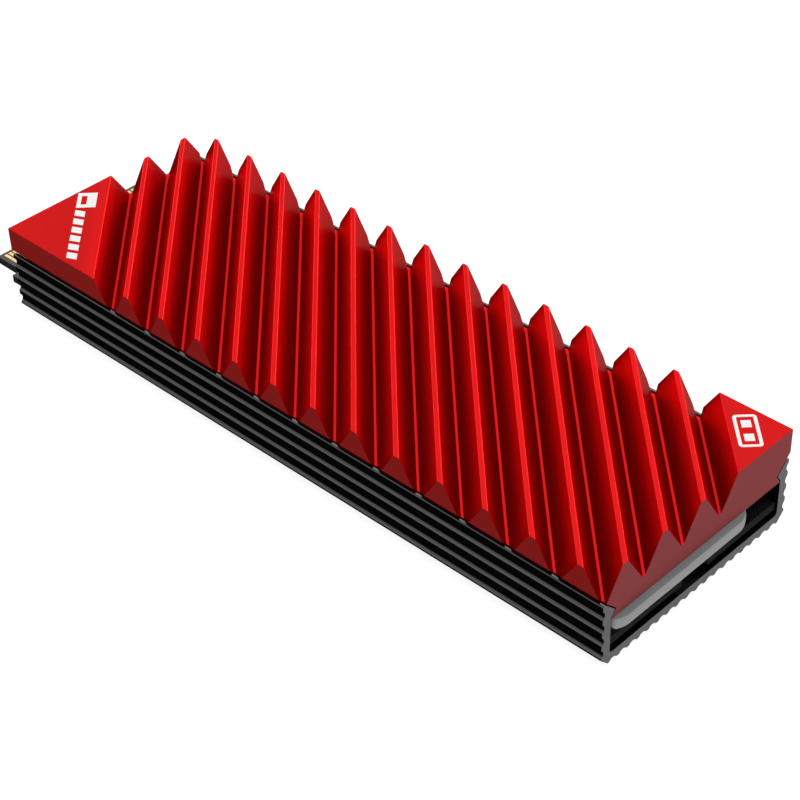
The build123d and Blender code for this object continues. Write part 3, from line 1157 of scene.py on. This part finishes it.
@dataclass
class Heatsink:
    """The red grooved heatsink, its printed marks and the silicone sheet stuck under it.

    The marks' places are groove-wise: across the grooves from the middle, then along them.
    """

    ink_height: float = 0.008 * MM
    pad_corner: float = 2.6 * MM
    pad_trim: float = 1.2 * MM
    pad_droop: float = 0.02 * MM
    tab: Patch = ((-28.51 * MM, -23.26 * MM), (-26.61 * MM, -20.61 * MM))
    tab_slot: Patch = ((-28.11 * MM, -22.71 * MM), (-27.56 * MM, -21.16 * MM))
    slat_across: Band = (-28.51 * MM, -27.5 * MM)
    slats_from: float = -20.21 * MM
    slats_run: float = 8.8 * MM
    slat_count: int = 6
    slat_share: float = 0.66
    slat_lean: float = 0.35 * MM
    card: Patch = ((29.91 * MM, 15.21 * MM), (31.96 * MM, 19.46 * MM))
    card_line: float = 0.3 * MM
    card_corner: float = 0.35 * MM
    card_inner_corner: float = 0.12 * MM
    chip_across: Band = (30.51 * MM, 31.36 * MM)
    chips_from: tuple[float, ...] = (15.96 * MM, 17.76 * MM)
    chip_run: float = 0.95 * MM

    def turned(self, outline: Sequence[Point]) -> list[Point]:
        """Turns an outline from groove-wise (across, along) to the row's x and y."""
        return [((u + w) * ROOT_HALF, (u - w) * ROOT_HALF) for u, w in outline][::-1]

    def airflow_mark(self, top: float) -> Object:
        """Prints a slotted tab and a row of slanted slats on the far corner's flat.

        Args:
            top: Level of the flat.

        Returns:
            The mark.
        """
        work = MeshWork()
        tab, slot = rectangle(*self.tab), rectangle(*self.tab_slot)
        work.ring(self.turned(tab), self.turned(slot), top, self.ink_height)
        low, high = self.slat_across
        pitch = self.slats_run / self.slat_count
        wide = self.slat_share * pitch
        for i in range(self.slat_count):
            near = self.slats_from + pitch * i
            far = near + self.slat_lean
            slat = [(low, near), (high, far), (high, far + wide), (low, near + wide)]
            work.prism(self.turned(slat), top, self.ink_height)
        return work.piece("airflow_mark", PrintedInk(), Body.HEATSINK)

    def card_mark(self, top: float) -> Object:
        """Prints an outline of a small round-cornered card with two chips on the near corner's flat.

        Args:
            top: Level of the flat.

        Returns:
            The mark.
        """
        work = MeshWork()
        low, high = self.card
        outer = round_rectangle(low, high, self.card_corner)
        inner_low = (low[0] + self.card_line, low[1] + self.card_line)
        inner_high = (high[0] - self.card_line, high[1] - self.card_line)
        inner = round_rectangle(inner_low, inner_high, self.card_inner_corner)
        work.ring(self.turned(outer), self.turned(inner), top, self.ink_height)
        for near in self.chips_from:
            chip = rectangle((self.chip_across[0], near), (self.chip_across[1], near + self.chip_run))
            work.prism(self.turned(chip), top, self.ink_height)
        return work.piece("card_mark", PrintedInk(), Body.HEATSINK)

    def build(self) -> list[Object]:
        """Dresses the heatsink and builds what is on it.

        Returns:
            The new pieces.
        """
        dress(RedAnodised(), "finned_heatsink")
        _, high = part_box("finned_heatsink")
        _, high_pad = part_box("upper_thermal_pad")
        pad = PressedSheet(
            "upper_pad_sheet",
            "upper_thermal_pad",
            Body.HEATSINK,
            corner=self.pad_corner,
            trim=self.pad_trim,
            droop=self.pad_droop,
            free=(high.x, high_pad.x),
        )
        return [pad.build(), self.airflow_mark(high.z), self.card_mark(high.z)]


@dataclass
class Tray:
    """The black ribbed tray with the thin silicone sheet on its floor."""

    pad_corner: float = 0.8 * MM

    def build(self) -> list[Object]:
        """Dresses the tray and builds its sheet.

        Returns:
            The new piece.
        """
        dress(BlackAnodised(), "base_tray")
        pad = PressedSheet("lower_pad_sheet", "lower_thermal_pad", Body.TRAY, corner=self.pad_corner)
        return [pad.build()]


@dataclass
class DriveCard:
    """The drive card: board, chips, small parts and its own printed marks."""

    moulded: tuple[str, ...] = ("flash_package_1", "flash_package_2", "memory_package")
    bracketed: tuple[str, ...] = (*moulded, "controller_substrate")
    edge: float = 0.05 * MM
    ink_height: float = 0.012 * MM
    bracket_gap: float = 0.22 * MM
    bracket_arm: float = 0.9 * MM
    bracket_line: float = 0.12 * MM
    dot_radius: float = 0.16 * MM
    dot_out: float = 0.484 * MM
    dot_down: float = 1.17 * MM

    def finishes(self) -> dict[str, Finish]:
        """Works out which finish each material slot of the record gets.

        Returns:
            The finishes, by slot.
        """
        low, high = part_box("underside_label")
        label = LabelFilm(low=(low.x, low.y), high=(high.x, high.y))
        metals = (GOLD, SOLDER, NICKEL)
        bodies = (MOULD, SUBSTRATE, CERAMIC, FERRITE, TANTALUM)
        return {finish.name: finish for finish in (SolderMask(), GlazedChip(), label, *metals, *bodies)}

    def brackets(self) -> Object:
        """Prints corner brackets and a first-pin dot round each large chip.

        Returns:
            The marks, as one piece.
        """
        work = MeshWork()
        _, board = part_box("circuit_board")
        arm, line = self.bracket_arm, self.bracket_line
        corner = [(0, 0), (arm, 0), (arm, line), (line, line), (line, arm), (0, arm)]
        for name in self.bracketed:
            low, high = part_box(name)
            for sx, x in ((1, low.x - self.bracket_gap), (-1, high.x + self.bracket_gap)):
                for sy, y in ((1, low.y - self.bracket_gap), (-1, high.y + self.bracket_gap)):
                    outline = [(x + sx * a, y + sy * b) for a, b in corner]
                    if sx * sy < 0:
                        outline.reverse()
                    work.prism(outline, board.z, self.ink_height)
            dot = disc((low.x - self.dot_out, high.y - self.dot_down), self.dot_radius)
            work.prism(dot, board.z, self.ink_height)
        return work.piece("chip_brackets", PrintedInk(), Body.CARD)

    def build(self) -> list[Object]:
        """Dresses the card's nodes and builds its marks.

        Returns:
            The new pieces.
        """
        finishes = self.finishes()
        slots = {row["node"]: row["material_slot"] for row in frame["record"]["subparts"]}
        for name, node in frame["nodes"].items():
            if node["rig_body"] == Body.CARD.value:
                dress(finishes[slots[name]], name)
        ease(self.edge, *self.moulded)
        return [self.brackets()]


@dataclass(frozen=True)
class Softbox:
    """One rectangular studio light, aimed at the object."""

    name: str
    place: Spot
    size: Point
    radiance: float
    aim: Spot = (0.0, 0.0, 5.0 * MM)
    sheen_only: bool = False

    def build(self) -> Object:
        """Hangs the light.

        Returns:
            The light's object.
        """
        lamp = bpy.data.lights.new(self.name, "AREA")
        lamp.shape = "RECTANGLE"
        lamp.size, lamp.size_y = self.size
        lamp.energy = self.radiance * math.pi * self.size[0] * self.size[1]
        hung = bpy.data.objects.new(self.name, lamp)
        hung.location = self.place
        hung.rotation_mode = "QUATERNION"
        hung.rotation_quaternion = (Vector(self.aim) - Vector(self.place)).to_track_quat("-Z", "Y")
        hung.visible_diffuse = not self.sheen_only
        bpy.context.scene.collection.objects.link(hung)
        return hung


@dataclass(frozen=True)
class Sky:
    """The studio's surroundings: white to the eye, soft on matt faces, banded in mirrored light.

    Each band is a height or a direction on the unit ball round the object.
    """

    horizon: Band = (-0.05, 0.12)
    below: float = 0.05
    above: float = 1.0
    back: Band = (0.6, 0.85)
    back_glow: float = 0.5
    rim_glow: float = 0.75
    crown: Band = (0.46, 0.6)
    crown_glow: float = 0.5
    overhead: Band = (0.7, 0.82)
    overhead_dimming: float = 0.9

    def build(self) -> None:
        """Makes the sky and hangs it round the scene."""
        world = bpy.data.worlds.new("studio_sky")
        world.use_nodes = True
        bpy.context.scene.world = world
        sheet = Sheet(world.node_tree)
        _, y, z = sheet.parts(sheet.node("ShaderNodeTexCoord", out="Generated"))
        seen = sheet.node("ShaderNodeLightPath", out="Is Camera Ray")
        mirrored = sheet.node("ShaderNodeLightPath", out="Is Glossy Ray")
        above = z.rise(*self.horizon)
        soft = self.below + (self.above - self.below) * above
        low_glow = self.back_glow * y.rise(*self.back) * (1 - above)
        high_glow = self.rim_glow * above + self.crown_glow * z.rise(*self.crown)
        overhead = 1 - self.overhead_dimming * z.rise(*self.overhead)
        banded = low_glow + high_glow * overhead
        lit = soft * (1 - mirrored) + banded * mirrored
        strength = lit * (1 - seen) + seen
        glow = sheet.node("ShaderNodeBackground", inputs={"Color": WHITE, "Strength": strength})
        sheet.end("ShaderNodeOutputWorld", glow)


@dataclass(frozen=True)
class Studio:
    """Pale floor, soft lights, pale sky and the camera."""

    floor_half: float = 3.0
    floor_drop: float = 0.05 * MM
    camera_place: Spot = (106.705 * MM, -103.072 * MM, 115.725 * MM)
    camera_aim: Spot = (5.4685 * MM, -2.15 * MM, 4.8 * MM)
    camera_roll: float = -2.037
    lens: float = 91.95
    sensor: float = 36.0
    clipping: Band = (0.01, 20.0)
    lights: tuple[Softbox, ...] = (
        Softbox("back_strip", (-0.12, 0.55, 0.17), (0.6, 0.14), 6.0, sheen_only=True),
        Softbox("left_strip", (-0.55, 0.12, 0.17), (0.4, 0.14), 3.5, sheen_only=True),
        Softbox("top_box", (-0.25, 0.25, 0.6), (0.5, 0.5), 0.5),
    )

    def floor(self) -> Object:
        """Lays the floor just under the object, unseen in reflections.

        Returns:
            The floor.
        """
        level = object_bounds()[0].z - self.floor_drop
        half = self.floor_half
        work = MeshWork()
        work.mesh.faces.new(work.loop((x, y, 0.0) for x, y in rectangle((-half, -half), (half, half))))
        laid = work.shown("studio_floor", StudioPaper())
        laid.location.z = level
        laid.visible_glossy = False
        laid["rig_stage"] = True
        return laid

    def camera(self) -> Object:
        """Stands the camera and makes it the scene's.

        Returns:
            The camera's object.
        """
        held = bpy.data.cameras.new("studio_camera")
        held.lens = self.lens
        held.sensor_width = self.sensor
        held.clip_start, held.clip_end = self.clipping
        stood = bpy.data.objects.new("studio_camera", held)
        stood.location = self.camera_place
        stood.rotation_mode = "QUATERNION"
        gaze = (Vector(self.camera_aim) - Vector(self.camera_place)).to_track_quat("-Z", "Y")
        roll = Quaternion((0.0, 0.0, 1.0), math.radians(self.camera_roll))
        stood.rotation_quaternion = gaze @ roll
        bpy.context.scene.collection.objects.link(stood)
        bpy.context.scene.camera = stood
        return stood

    def build(self) -> None:
        """Builds the whole studio."""
        self.camera()
        self.floor()
        Sky().build()
        for light in self.lights:
            light.build()
        bpy.context.scene.view_settings.view_transform = "Standard"


def main() -> None:
    """Builds each sub-assembly, then the studio, and notes the sizes."""
    logging.basicConfig(level=logging.INFO, format="%(name)s: %(message)s")
    for part in (Tray(), Heatsink(), DriveCard()):
        for piece in part.build():
            log.info("%s: built by %s", piece.name, type(part).__name__)
    Studio().build()
    bpy.context.view_layer.update()


if __name__ == "__main__":
    main()
